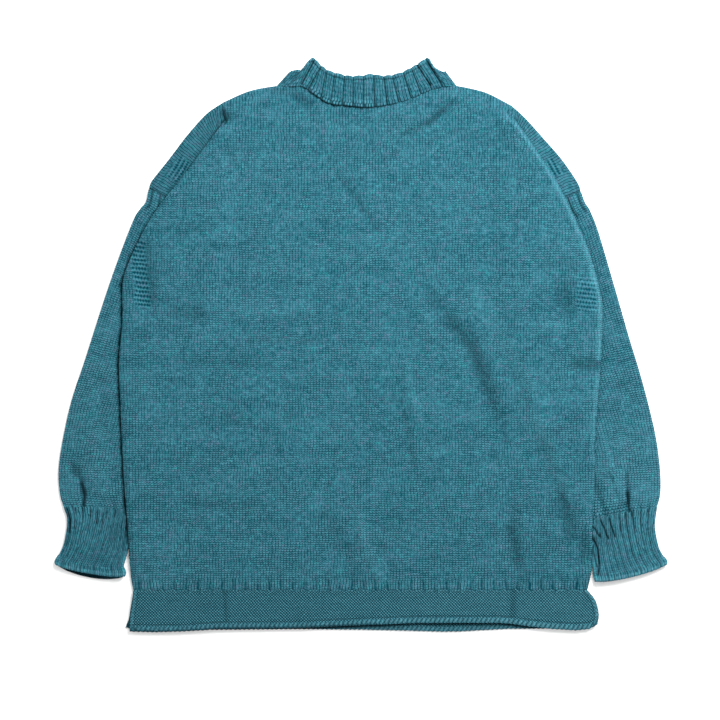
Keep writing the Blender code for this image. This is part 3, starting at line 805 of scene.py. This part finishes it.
def hole_shade(points):
    """How much painted shade the cloth has in and above the little hole."""
    away, share = from_line(points, *PLEAT_HOLE)
    size = np.where(away[..., 0] > 0, HOLE_RIGHT, HOLE_LEFT)
    return (0.9 + 0.09 * share) * bell(np.linalg.norm(away, axis=-1), 0, size)


def seam_shadow(points):
    """How dark the front is just below the collar's seam, where the knots stand over it."""
    x = points[..., 0]
    line = even_curve(NECK_SEAM, 120)
    below = line_at(x, line) - points[..., 1]
    inside = limit((x - line[0, 0]) / 5) * limit((line[-1, 0] - x) / 5)
    ragged = 3.2 + 1.4 * np.sin(x * 0.9) + 0.8 * np.sin(x * 0.37 + 1)
    return 0.9 * inside * line_at(x, SEAM_SHADOW) * limit((ragged - below) / 2.5)


def front_shade(points):
    """How much less light reaches the front in its valleys, creases and under the collar's seam."""
    x, y = points[..., 0], points[..., 1]
    folds = creases(points, BODY_CREASES)
    dark = darkest(
        0.36 * limit(hem_valleys(points)) ** 1.3,
        seam_shadow(points),
        0.14 * np.clip(-folds - 0.4, 0, None),
        hole_shade(points),
        *(less * bell(x, *across) * bell(y, *up) for across, up, less in SLOPES),
    )
    dark = dark - 0.08 * np.clip(folds, 0, None)
    inside = -beyond_body(points, "right")
    # Painted highlight on the cloth by the right edge, where it catches the lamp's light.
    tight = np.maximum(0.5 * bell(inside, *TIGHT_PLACE), 0.1 * np.exp(-np.abs(inside) / 13))
    return lighten(dark, line_at(y, TIGHT_EDGE) * tight * (x > 0))


front_grids = []
for part in (front_top, front_rows):
    patches = patch(part, *SIDE_PATCHES["left"]) + 0.7 * patch(part, *SIDE_PATCHES["right"])
    front_grids.append(
        {
            "points": front_relief(part),
            "stitches": flat_stitches(part),
            "moss": patches,
            "rib": hem_band(part),
            "shade": front_shade(part),
        }
    )
for side in PLEATS:
    tucked, strip = strip_rows(pleats[side], outline[side])
    front_grids.append(
        {"points": tucked, "stitches": flat_stitches(tucked), "shade": hole_shade(tucked)}
    )
    stitches = strip_stitches(strip)
    start, end = STRIP_PATCHES[side]
    run, in_from_outline = stitches[..., 0] * WALE, -stitches[..., 1] * COURSE
    patches = 0.85 * limit((run - start) / 3) * limit((end - run) / 3)
    patches = patches * limit((in_from_outline - 6) / 2)
    stitches[..., 1] += STRIP_LIFT
    seam = limit((run - run.max() + 2.6 + np.sin(stitches[..., 1] * 2.4)) / 2)
    # Painted shade on the strip: along its seam, under the body's edge, all over the lower-lying
    # left strip, and in the hole.
    dark = darkest(
        STRIP_SEAM[side] * seam,
        0.85 * shadow_beside_body(strip, side),
        STRIP_SHADE[side],
        hole_shade(strip),
    )
    front_grids.append({"points": strip, "stitches": stitches, "moss": patches, "shade": dark})
front = knit("front", front_grids, "front_panel")

# ---- Back panel --------------------------------------------------------------------------------
# The back of the body, knitted like the front. It lies flat on the table out to the shoulders;
# below the armholes its sides ride up over the sleeves and meet the front's sides in a fold.
BACK_COLUMNS = (10, 6, 110)


def rows_of(lines, rows):
    return {key: value[rows] for key, value in lines.items()}


lower = [rows_of(sides[side], slice(PLEAT_ROWS - 1, None)) for side in PLEATS]
back_lower = panel_rows(*lower, 0, BACK_COLUMNS, sags=False)
upper = [rows_of(sides[side], slice(0, PLEAT_ROWS)) for side in PLEATS]
for lines in upper:
    lines["lift"] = lines["lift"] * 0
hidden_columns = ROUND + BACK_COLUMNS[0]
back_upper = panel_rows(*upper, 0, BACK_COLUMNS)[:, hidden_columns:-hidden_columns]
back_top = below_shoulders(back_upper[0], outline, 0)
back_parts = [back_top, back_upper, back_lower]
for side in PLEATS:
    path, outward = outline[side]
    base = path - outward * INSET
    corner = stack(line_up(base, pleats[side]["tuck"], STRIP_SHARES)[:, ::-1], level(0))
    rim = round_edge(base, outward, level(0), 0, QUARTER, False)
    back_parts.append(np.concatenate([corner, rim[:, 1:]], axis=1))
back_grids = [{"points": part, "stitches": flat_stitches(part)} for part in back_parts]
back = knit("back", back_grids, "back_panel")

# ---- Welts -------------------------------------------------------------------------------------
# The split band below the body: two flat strips of seed stitch, open at both sides, with a thick
# cast-on edge. The front one is a little shorter in the middle and shows the back one below it.
WELT_TOP = -298.3
FRONT_HEM_ENDS = ((-276.5, 276.4), (-277.5, 285), (-279.5, 288.5), (-280.5, 290), (-281, 288.5))
BACK_HEM_ENDS = ((-276.5, 276.5), (-278.5, 284), (-280.6, 287), (-282.4, 288.5), (-286.5, 286))
WELT_CREASES = (
    (-166, -295, -1.0, 4.5, -163, -338), (187, -300, -1.1, 5.5, 183.6, -334),
)
FRONT_HEM_EDGE = (
    (-281, -348), (-250, -348.7), (-220, -348), (-190, -346.3), (-177, -345), (-74, -344),
    (-25, -341.6), (0, -340.4), (60, -338), (120, -337.6), (170, -337.8), (185, -339), (207, -342),
    (231, -344.7), (262, -346.5), (278, -345), (289, -339),
)
BACK_HEM_EDGE = (
    (-287, -343.5), (-281, -345), (-260, -346.8), (-177, -346.6), (-74, -345.8), (0, -346.4),
    (60, -347.7), (100, -348.9), (120, -348.6), (150, -347), (180, -345.4), (262, -345),
    (286, -339),
)
CAST_ON = 6.4  # mm, width of the thick edge
CAST_ON_LOOP = 5.6  # mm from one loop of it to the next
LOOP_SLANT = 0.8  # how far its loops lean
SELVEDGE = 4.5  # mm, width of the knotted side edges
SELVEDGE_KNOT = 5.4  # mm from one knot of it to the next
WELT_GAUGE = (2.0, 3.0)  # how much finer its stitches are, across and up
WELT_GLOW = 0.1  # light that the firm welt catches; a little more on the right and lower down
LOOP_GLOW = 0.64  # on its loops and knots
COVER = 3.4  # mm that the front's shadow reaches down the back welt
WELTS = (
    ("front_hem", "front_welt", 1, FRONT_HEM_ENDS, FRONT_HEM_EDGE, (46, 430)),
    ("back_hem", "back_welt", 0, BACK_HEM_ENDS, BACK_HEM_EDGE, (30, 430)),
)


def welt_rows(layer, ends, edge, rows, columns):
    """A welt's points, from the body down to its lower edge and from left to right."""
    share = np.linspace(0, 1, rows)
    left_right = curve(ends, share * (len(ends) - 1))
    x = line_up(left_right[:, :1], left_right[:, 1:], columns - 1)[..., 0]
    lower = line_at(x, edge) + 0.35 * np.sin(x / CAST_ON_LOOP * math.tau)
    y = WELT_TOP + (lower - WELT_TOP) * share[:, None]
    return stack(np.stack([x, y], axis=-1), level(layer))


for name, node, layer, ends, edge, count in WELTS:
    points = welt_rows(layer, ends, edge, *count)
    points[..., 1] += hem_join(points)
    stitches = flat_stitches(points) * WELT_GAUGE
    x, y = points[..., 0], points[..., 1]
    from_edge, from_side = y - y[-1:], np.minimum(x - x[:, :1], x[:, -1:] - x)
    share_down = np.linspace(0, 1, len(y))[:, None]
    ridge = bell(from_edge, CAST_ON / 2, CAST_ON * 0.42)
    loops = 0.5 + 0.5 * np.sin((x - LOOP_SLANT * from_edge) / CAST_ON_LOOP * math.tau)
    knots = 0.6 + 0.4 * np.sin(y / SELVEDGE_KNOT * math.tau)
    knots = knots * bell(from_side, SELVEDGE / 2, SELVEDGE * 0.4)
    groove = bell(from_edge, CAST_ON * 1.25, 1.2) * (1 - 0.6 * knots)
    groove = np.maximum(groove, bell(from_side, SELVEDGE * 1.1, 1.0))
    # Painted shade in the groove above the cast-on edge, beside the knotted sides and between the
    # loops; painted light over the welt, more to the right and lower down, and on its loops and
    # knots.
    shade = np.maximum(0.35 * groove, 0.5 * ridge * (1 - loops) ** 2)
    glow = WELT_GLOW + 0.14 * limit((x + 100) / 300) + 0.06 * share_down
    glow = glow + LOOP_GLOW * np.maximum(ridge * loops, 0.6 * knots)
    if layer:
        folds = creases(points, WELT_CREASES)
        thick = np.maximum(ridge * (0.6 + 0.7 * loops), 0.7 * knots)
        points[..., 2] += 0.7 * (LOFT + uneven(points) + folds) + 1.3 * thick - 0.3 * groove
        points[..., 2] += 0.9 * limit(1 - share_down / 0.06)
        # Painted shadow along the bottom edge and painted shade in the creases; painted light along
        # the first row.
        shadow_under_edge = limit((2.6 - from_edge) / 1.2) * limit((40 - x) / 60)
        shadow_under_edge = shadow_under_edge * (0.5 + 0.15 * np.sin(x * 0.9) * np.sin(x * 0.23))
        shade = darkest(shade, -0.2 * folds * limit(1 - ridge), shadow_under_edge)
        first_row = 0.3 + 0.2 * np.sin(x / WALE * math.tau)
        glow = glow + first_row * limit(1 - share_down / 0.05)
    else:
        # Painted shadow where the front welt overhangs the back one, and on the back welt's flap at
        # the far left.
        above_front = y - line_at(x, FRONT_HEM_EDGE) + COVER
        shadow_of_front = limit(above_front / 1.6) * limit((x + 279) / 3)
        shade = darkest(shade, 0.97 * shadow_of_front, 0.3 * limit((-270 - x) / 4))
    seed = 1 - limit(ridge + knots)
    grid = {"points": points, "stitches": stitches, "seed": seed, "shade": lighten(shade, glow)}
    hem = knit(name, [grid], node)

# ---- Sleeves -----------------------------------------------------------------------------------
# Each sleeve is a tube knitted down from the armhole, pressed flat and tucked under the body. Its
# stitches run straight down the outer edge; the shaping is along the hidden seam.
SLEEVES = {  # from the armhole down: X and Y of the outer edge, X and Y of the inner one
    "left": (
        (-261.2, 174.5, -179, 122), (-268.3, 166.8, -180.5, 104), (-275.5, 155.5, -182, 86),
        (-287.8, 125, -185.5, 59), (-303, 83.5, -192, 29), (-318, 38.5, -198, -5.5),
        (-336, -18, -209, -47), (-352, -66.5, -223, -83.5), (-363, -115.5, -240, -122.5),
        (-368, -152, -254, -157), (-366.5, -180, -270, -184), (-362, -197, -279, -200.5),
    ),
    "right": (
        (273.3, 174, 188, 126), (280.2, 163.5, 188.5, 105), (288.4, 143.5, 189, 78),
        (299.5, 107, 190.5, 44.5), (313, 60.5, 197, 14), (327.8, 9, 205.5, -20),
        (339.7, -30, 215.5, -52), (350.3, -69, 227.5, -83.5), (360.1, -111.5, 243.5, -120),
        (365.3, -152, 258, -157), (365.5, -180, 271.5, -188.5), (361.5, -197, 282.5, -213),
    ),
}
SLEEVE_CREASES = (
    (-350, -146, -2.0, 8, -346, -158),
    (-344, -150, -2.0, 6, -339.5, -168, -2.9, 5, -336, -182, -2.8, 4.4, -337, -196),
    (-306, -118, -1.2, 8, -306, -165), (-301, -193, -1.6, 3.0, -298, -196),
    (-313, -190, -0.8, 3.0, -308, -197),
    (325, -158, -2.0, 4.4, 325.6, -180, -3.0, 4.4, 326, -193, -2.8, 3.4, 328.5, -203),
    (291, -184, -1.8, 4.5, 302.3, -209), (284, -162, -1.7, 7, 300, -204),
    (289, -108, 1.2, 6, 301, -135, 1.9, 6, 321, -188), (-300, 20, -0.8, 9, -322, -60),
    (-354, -46, -0.8, 5, -316, -60), (-330, -70, 0.9, 12, -322, -130),
    (318, -20, -0.8, 10, 322, -110), (307, -114, -1.3, 7, 308, -165),
    (340, -80, 0.8, 10, 344, -150),
)
ARMHOLE_GAP = -0.4  # mm between the shoulder strip's edge and the sleeve; they press together
HEAD_BAND = 26  # mm of ribbing at the top of a sleeve
HEAD_RIB = {"left": 10.7, "right": 12.1}  # mm from one of its ribs to the next
HEAD_RIB_START = {"left": 0.55, "right": 0.59}
HEAD_RIDGE = 1.6  # mm, width of the raised row below them
HEAD_SEAM = 2.2  # mm, depth of the seam above them
PUFF = 1.3  # mm that a sleeve swells where it shows
PUFF_START = (14, 12)  # mm from the edge of the body, and from its own outer fold
PUFF_END = 14  # mm above the cuff
GATHERS = 9  # mm that the cuff's ribs reach up into the sleeve
JOIN_REACH = 10  # mm on both sides of their join that follow it up and down
SLEEVE_SHADE = {"left": 0.05, "right": 0.0}  # near its head
CUFF_RIBS = 22  # all round
CUFF_LEAN = {"left": 1.6, "right": 1.3}  # ribs that they lean over at the top of the cuff
RIB_SHADE = {"left": 0.26, "right": 0.55}
# Light that the lower part of each sleeve catches, at some distances down it in mm.
LOW_GLOW = {
    "left": ((50, 0), (90, 0.12), (230, 0.12), (330, 0.08)),
    "right": ((50, 0), (90, 0), (230, 0), (330, 0.14)),
}
SLEEVE_STEPS = (150, 60, 20)  # along, across the front, across the back


def sleeve_head(side):
    """The two edges of a sleeve where it joins the armhole, beside the shoulder strip."""
    pleat = pleats[side]
    outer, start = pleat["outline"][-1], pleat["strip"][-1]
    across = unit(start - outer)
    ahead = np.array([-across[1], across[0]]) * PLEATS[side]["outward"] * ARMHOLE_GAP
    return (*(outer + ahead), *(start + across * INSET + ahead))


def outer_fold(steps):
    """The column of a tube's points in the middle of its outer fold."""
    return steps[2] + 2 * ROUND


def pressed_tube(walls, folds):
    """Rings round a tube pressed flat, from the middle of one fold and back to it.

    Each wall is a pair of its points and its layer; folds says which way is out at both folds."""
    parts = []
    for (wall, layer), near, far in zip(walls, folds, folds[::-1]):
        height, downwards = level(layer), layer == 1
        parts += [
            round_edge(wall[:, 0], near, height, QUARTER, 0, downwards),
            stack(wall, height),
            round_edge(wall[:, -1], far, height, 0, QUARTER, downwards),
        ]
    return np.concatenate([*(part[:, :-1] for part in parts[:-1]), parts[-1]], axis=1)


def tube_rings(table, steps):
    """A tube pressed flat. Rings start and end in the middle of the inner fold, back wall first.

    Gives the points, which way is out at each, and the distance round from the outer fold."""
    rows, front_steps, back_steps = steps
    edges = curve(table, even_places(np.array(table)[:, :2], rows))
    outer, inner = edges[:, :2], edges[:, 2:]
    across = unit(inner - outer)
    outer, inner = outer + across * INSET, inner - across * INSET
    walls = (line_up(inner, outer, back_steps), 0), (line_up(outer, inner, front_steps), 1)
    points = pressed_tube(walls, (across, -across))
    around = np.array([run_of(ring) for ring in points])
    around = around - around[:, [outer_fold(steps)]]
    middle = (level(0) + level(1)) / 2
    spine = stack((outer + inner) / 2, middle)[:, None]
    half = np.linalg.norm(inner - outer, axis=1)[:, None] / 2
    sideways = np.einsum("rcx,rx->rc", (points - spine)[..., :2], across)
    beyond = np.clip(np.abs(sideways) - half, 0, None) * np.sign(sideways)
    flat_out = across[:, None] * beyond[..., None]
    outward = np.concatenate([flat_out, points[..., 2:] - middle], axis=-1)
    return points, unit(outward), around


def push(points, outward, distance):
    return points + outward * distance[..., None]


def rib_turns(around, side, lean=1.0):
    """Cuff ribs counted round a tube. On its front they lean over, by so much of CUFF_LEAN."""
    across = limit(around / around[:, -1:])
    lean = CUFF_LEAN[side] * lean * np.sin(math.pi * across) * (0.6 + 0.8 * across)
    return around / (around[:, -1:] - around[:, :1]) * CUFF_RIBS - lean


def cuff_join(turns):
    """How far the join of sleeve and cuff wanders up and down, in mm."""
    return 1.0 * np.sin(turns * math.tau + 1) + 0.6 * np.sin(turns * 3 * math.tau)


for side in PLEATS:
    points, outward, around = tube_rings([sleeve_head(side), *SLEEVES[side]], SLEEVE_STEPS)
    down = run_of(points[:, outer_fold(SLEEVE_STEPS)])[:, None]
    to_cuff = down[-1] - down
    stitches = stitch_counts(around / WALE, -down / COURSE)
    top, shows = limit(outward[..., 2]), limit(beyond_body(points, side) / PUFF_START[0])
    puff = (PUFF + uneven(points)) * shows * top * limit(around / PUFF_START[1])
    head = limit((HEAD_BAND - down) / 2) * limit(down / 2) * limit(top * 2)
    valley = furrows(around / HEAD_RIB[side] + HEAD_RIB_START[side], 0.13)
    seam = limit(1 - down / HEAD_SEAM)
    ridge = bell(down, HEAD_BAND, HEAD_RIDGE)
    head_relief = head * (0.9 - 1.3 * valley) + (0.5 * ridge - 0.6 * seam) * top
    points = push(points, outward, puff + head_relief)
    ending = limit(1 - to_cuff / PUFF_END) ** 2 * top
    points = push(points, outward, (0.9 * top - puff) * ending)
    folds = creases(points, SLEEVE_CREASES) * top
    points = push(points, outward, folds * limit(shows * 2) * limit(to_cuff / 12))
    turns = rib_turns(around, side)
    gathers = furrows(turns, 0.15) * limit(1 - to_cuff / GATHERS) * top
    points = push(points, outward, -0.6 * gathers)
    points[..., 1] += cuff_join(turns) * limit(1 - to_cuff / JOIN_REACH)
    # Painted shade in the head's rib valleys, along the seam, near the head, in the cuff's gathers,
    # under the body's edge and in the creases; painted light lower down and at the cuff.
    dark = darkest(
        0.85 * head * valley,
        STRIP_SEAM[side] * seam,
        SLEEVE_SHADE[side] * top * limit(1.2 - down / 90),
        RIB_SHADE[side] * gathers,
        top * shadow_beside_body(points, side),
        0.92 * limit((-folds - 0.9) / 1.8) ** 1.4,
    )
    glow = (0.15 * limit(1 - to_cuff / 2) + line_at(down, LOW_GLOW[side])) * top
    grid = {"points": points, "stitches": stitches, "shade": lighten(dark, glow)}
    sleeve = knit("arm_" + side, [grid], "sleeve_" + side)

# ---- Cuffs -------------------------------------------------------------------------------------
# Each cuff is a tube of two-by-two rib below the sleeve. It draws the sleeve in at its top and
# flares out to a thick cast-on edge, and its mouth stands a little open.
CUFFS = {
    "left": (
        (-362, -197.5, -279, -201), (-357, -213, -280.8, -218), (-360, -237, -283.2, -245),
        (-365, -251, -287, -260), (-370.2, -257.5, -288.8, -268), (-371.9, -262, -285.9, -274.5),
        (-370.8, -265.2, -287, -279.3),
    ),
    "right": (
        (361.5, -197.5, 282.5, -213.5), (358.2, -219, 281.2, -233), (362.2, -243, 282, -258),
        (367.6, -254.5, 283.5, -273), (372.8, -260.5, 284.3, -280), (372.6, -265.4, 285.5, -286),
    ),
}
CUFF_CREASES = (
    (-357.2, -199, -1.9, 1.9, -353, -213, -1.9, 1.9, -354.2, -228, -1.1, 1.8, -358, -244),
    (-346.7, -197, -1.0, 1.6, -346.7, -204), (-338, -197, -1.3, 1.7, -338, -209),
    (-328.7, -201, -1.7, 1.7, -329, -209), (-320.5, -204, -1.7, 1.7, -321.5, -216),
    (-313.4, -205, -1.3, 1.6, -314.5, -215), (-308.8, -202, -1.1, 1.6, -310, -210),
    (-298.3, -201, -1.2, 1.6, -300, -209), (292.4, -213, -1.8, 1.6, 301.8, -235),
    (302.9, -211, -1.8, 1.6, 309.5, -233), (283.6, -221, -1.7, 1.6, 291.3, -233),
    (283.2, -235, -2.0, 1.8, 289.1, -248, -2.0, 1.8, 290.8, -265, -1.6, 1.8, 289.1, -279),
    (282.8, -246, -1.2, 1.4, 287.5, -270), (315.4, -208, -1.4, 1.6, 316.4, -226),
    (322, -204, -1.4, 1.6, 324.9, -226, -1.1, 1.5, 331, -257),
    (329.9, -203, -1.5, 1.7, 333.2, -222), (340.9, -204, -1.2, 1.6, 341.5, -222),
    (349.5, -201, -0.9, 1.6, 350, -216),
)
CUFF_STEPS = (52, 84, 60)
CUFF_SAG = {"left": 10.8, "right": 7.2}  # mm that its edge hangs below a straight line
CUFF_JOIN = (2.1, 1.05)  # mm that its first two rows reach up over the sleeve
CUFF_GLOW = {"left": 0.03, "right": 0.12}  # more of the lamp's light reaches the right one
CORNER_LIFT = 2.6  # mm that the corner by the body stands off the table
MOUTH = {"left": 5.2, "right": 0.8}  # mm that the front of the edge stands back from the rear
RIB_DEPTH = 1.9  # mm
CUFF_LIP = (2.4, 1.9)  # mm from the edge to the middle of its thick beads, and their width
UNDER_BEADS = (5.4, 1.3)  # the same for the dots of painted shade between them and the ribs


for side in PLEATS:
    points, outward, around = tube_rings(CUFFS[side], CUFF_STEPS)
    share = np.linspace(0, 1, CUFF_STEPS[0])[:, None]
    down = run_of(points[:, outer_fold(CUFF_STEPS)])[:, None]
    turns = rib_turns(around, side, (1 - share) ** 1.5)
    stitches = stitch_counts(turns * 3, STRIP_LIFT - 0.5 - down / COURSE)
    points[:2, :, 1] += np.array(CUFF_JOIN)[:, None]
    points[..., 1] += cuff_join(turns) * limit(1 - down / JOIN_REACH)
    across, from_outer = limit(around / around[:, -1:]), np.abs(around / around[:, -1:])
    points[..., 1] -= CUFF_SAG[side] * share**1.5 * limit(np.sin(math.pi * from_outer)) ** 0.5
    top, crown = limit(outward[..., 2]), limit(np.sin(math.pi * across))
    started, join = limit(share * 5), limit(1 - share * 20)
    valley = furrows(turns, 0.15)
    ribs = RIB_DEPTH * (1 - furrows(turns, 0.14)) * started * (0.25 + 0.75 * top)
    beads = turns * 2 * math.tau + np.sin(turns * 2.3)
    from_lip = down[-1] - down
    lip = bell(from_lip, *CUFF_LIP) * (0.55 + 0.45 * np.sin(beads))
    folds = creases(points, CUFF_CREASES) * top
    relief = 0.9 + 0.7 * join - 0.6 * valley * (1 - started) + 1.6 * share**3 * crown + 0.9 * lip
    points = push(points, outward, ribs + relief * top + folds)
    points[..., 1] += MOUTH[side] * share**3 * crown**0.7 * (top > 0.3)
    points[..., 2] = np.maximum(points[..., 2], level(0))
    points[..., 2] += CORNER_LIFT * share**3 * limit(2 * from_outer - 1)
    inside = np.abs(around / around[:, :1]) * (outward[..., 2] < -0.3)
    mouth_shade = np.interp(inside, (0, 0.6, 1), (0.97, 0.97, 0.6)) * (inside > 0)
    # Painted shade in the rib valleys and creases, inside the open mouth, in dots under the beads
    # and under the body's edge; painted light on the beads, at the join and over the top wall.
    dark = darkest(
        RIB_SHADE[side] * valley * np.clip(1.25 - share, 0.2, 1),
        limit(-folds / 1.6) ** 1.5,
        mouth_shade * limit(1.5 - from_lip / 6),
        0.6 * limit(np.sin(beads + 2)) * bell(from_lip, *UNDER_BEADS) * top,
        top * shadow_beside_body(points, side),
    )
    glow = (CUFF_GLOW[side] + 0.12 * join + 0.5 * lip) * top
    grid = {"points": points, "stitches": stitches, "shade": lighten(dark, glow)}
    cuff = knit("cuff_rib_" + side, [grid], "cuff_" + side)

# ---- Collar ------------------------------------------------------------------------------------
# A band of two-by-two rib picked up round the neck and pressed flat, its front half on its back
# half. It is cast off loosely, so its edge is scalloped, and a row of purl bumps marks the seam.
NECK_TOP = (
    (-87, 333), (-78.7, 334.8), (-69.5, 337.4), (-64, 344), (-58, 351.2), (-53.5, 346.5),
    (-48.5, 341.6), (-39.5, 335), (-30, 331.8), (-13, 328), (4, 328.8), (13.5, 330.4),
    (27.5, 328.2), (46, 331), (61.5, 338), (75, 346.4), (82, 351), (86, 341.6), (92, 336.4),
    (98, 333.6), (105.5, 332.8),
)
COLLAR_STEPS = (30, 250)  # up from the seam, and along the front
RIBS_AT_SEAM = (
    -102, -89, -76, -63, -47.8, -36.8, -22.2, -9.2, 3.3, 17.2, 32.3, 46.2, 61.5, 73.2, 86.4, 99.4,
    117.5,
)
RIBS_AT_BRIM = (
    -87, -72, -57.5, -47.8, -41.6, -31.2, -19.5, -9.2, 3.3, 15.7, 28.2, 37.9, 51.7, 61.5, 69, 78.7,
    105.5,
)
COLLAR_RIBS = len(RIBS_AT_SEAM) - 1
COLLAR_DEPTH = 2.4  # mm, how deep its ribs are
COLLAR_CREASES = (
    (79.5, 345, -1.3, 1.2, 89.7, 330, -1.8, 1.4, 99, 321), (88, 337, -1.1, 1.1, 101, 322),
    (69, 341, -2.4, 1.7, 76, 330, -2.2, 1.4, 86, 317), (-94.5, 320, -1.2, 1.3, -70, 335),
    (-88.5, 317.5, -1.0, 1.3, -66.5, 330), (-71.4, 318, -1.9, 1.6, -56.7, 346),
    (-64, 314, -1.3, 1.5, -48, 339),
)
SCALLOP = 1.1  # mm that each rib bulges past the edge
SEAM_LAP = 1.0  # mm that it lies over the rounded edge of the front
# How the collar changes along its front: ribs counted from its left end, and a share there.
RIB_HEIGHT = ((0.4, 0.15), (1.5, 1), (15.3, 1), (15.8, 0.15))  # of COLLAR_DEPTH
RIB_DARKNESS = ((2, 0.55), (6, 0.7), (9, 0.9), (15, 0.9))
SEAM_STANDS = ((0, 0), (2, 0.15), (3.4, 1), (8, 1), (11.3, 0.1), (16, 0))  # its purl bumps
COLLAR_SHADE = 0.09  # all over, against the front
# Middle and width, in mm from the seam, of its two rows of purl bumps.
SEAM_BUMPS = ((2.0, 1.5), (5.0, 1.4))
BRIM_LIP = (1.8, 1.5)  # mm from the brim to the middle of its cast-off chain, and its width
UNDER_LIP = (4.6, 1.0)  # and for the groove below that


def at_ribs(line, ribs_x, turns):
    """Points of a line where its X passes the ribs that turns counts."""
    fine = np.linspace(0, len(line) - 1, 1200)
    x = np.interp(turns, np.arange(len(ribs_x)), ribs_x)
    return curve(line, np.interp(x, np.maximum.accumulate(curve(line, fine)[:, 0]), fine))


line_turns = np.linspace(0, COLLAR_RIBS, COLLAR_STEPS[1])
seam = at_ribs(NECK_SEAM, RIBS_AT_SEAM, line_turns)
seam = seam - normals_of(seam, 1, 1) * SEAM_LAP
brim = at_ribs(NECK_TOP, RIBS_AT_BRIM, line_turns)
brim = brim + normals_of(brim, 1, 1) * (SCALLOP * (0.4 - furrows(line_turns, 0.3)))[:, None]
share = np.linspace(0, 1, COLLAR_STEPS[0])[:, None]
lines = line_up(seam, brim, share[:, 0]).transpose(1, 0, 2)
ends = []
for end, inner, sign in ((0, 8, -1), (-1, -9, 1)):
    up = unit(brim[end] - seam[end])
    out = np.array([-up[1], up[0]])
    out = out if out[0] * sign > 0 else -out
    ends.append(np.tile(out, (COLLAR_STEPS[0], 1)))
    along = unit(lines[:, inner] - lines[:, end])
    lines[:, end] += along * INSET / np.abs(along @ out)[:, None]
every_second = [*range(COLLAR_STEPS[1] - 1, 0, -2), 0]
collar_points = pressed_tube(((lines, 1), (lines[:, every_second], 0)), ends)
column = np.arange(collar_points.shape[1])
last_front = COLLAR_STEPS[1] + ROUND - 1
turns = np.interp(column, np.arange(COLLAR_STEPS[1]) + ROUND, line_turns)
behind = COLLAR_RIBS * (column - last_front) / (len(column) - COLLAR_STEPS[1])
turns = np.where(column > last_front, COLLAR_RIBS + behind, turns)
from_seam = np.linalg.norm(brim - seam, axis=1).mean() * share
stitches = stitch_counts(turns * 4, STRIP_LIFT + from_seam / COURSE)
fade = limit(np.minimum(column - ROUND, last_front + 1 - column) / 6)
bumps = 0.5 * np.sin(turns * 4 * math.tau)
first, second = (bell(from_seam, *row) for row in SEAM_BUMPS)
knots = np.maximum(first * (0.5 + bumps), second * (0.5 - bumps))
from_brim = from_seam[-1] - from_seam
lip, under_lip = bell(from_brim, *BRIM_LIP) * (0.7 + 0.6 * bumps), bell(from_brim, *UNDER_LIP)
ribbed, stands = line_at(turns, RIB_HEIGHT) * fade, line_at(turns, SEAM_STANDS)
folds = creases(collar_points, COLLAR_CREASES) * fade
sinks = limit(1 - from_seam / 9) * (1 - stands)
relief = 0.8 - sinks + 1.6 * knots * (0.3 + 0.7 * stands) + 0.8 * lip - 0.9 * under_lip
ribs = COLLAR_DEPTH * (1 - furrows(turns, 0.13)) * ribbed
collar_points[..., 2] += relief * fade + ribs + folds
# Painted shade in the rib valleys, under the purl bumps at the seam, in the groove under the lip,
# in the creases and a little all over; painted light by the seam, on the lip and on the knots.
each = line_at(turns, RIB_DARKNESS) + 0.1 * np.sin(np.floor(turns + 0.5) * 2.1)
under = np.clip(3.4 - from_seam / 1.9, 0, 1) * limit(1 - 1.6 * knots) * stands
dark = darkest(
    each * furrows(turns, 0.105) * ribbed * np.clip((1 - share) * 6, 0.1, 1),
    0.8 * under * fade,
    0.45 * under_lip * fade,
    limit(-folds / 1.8) ** 1.5,
    COLLAR_SHADE,
)
glow = 0.3 * limit(1 - from_seam / 2) * (1 - stands)
glow = glow + 0.55 * np.maximum(lip, knots * stands) * fade
shade = lighten(dark, glow)
grid = {"points": collar_points, "stitches": stitches, "moss": 0.2, "shade": shade}
collar = knit("neck_rib", [grid], "collar")
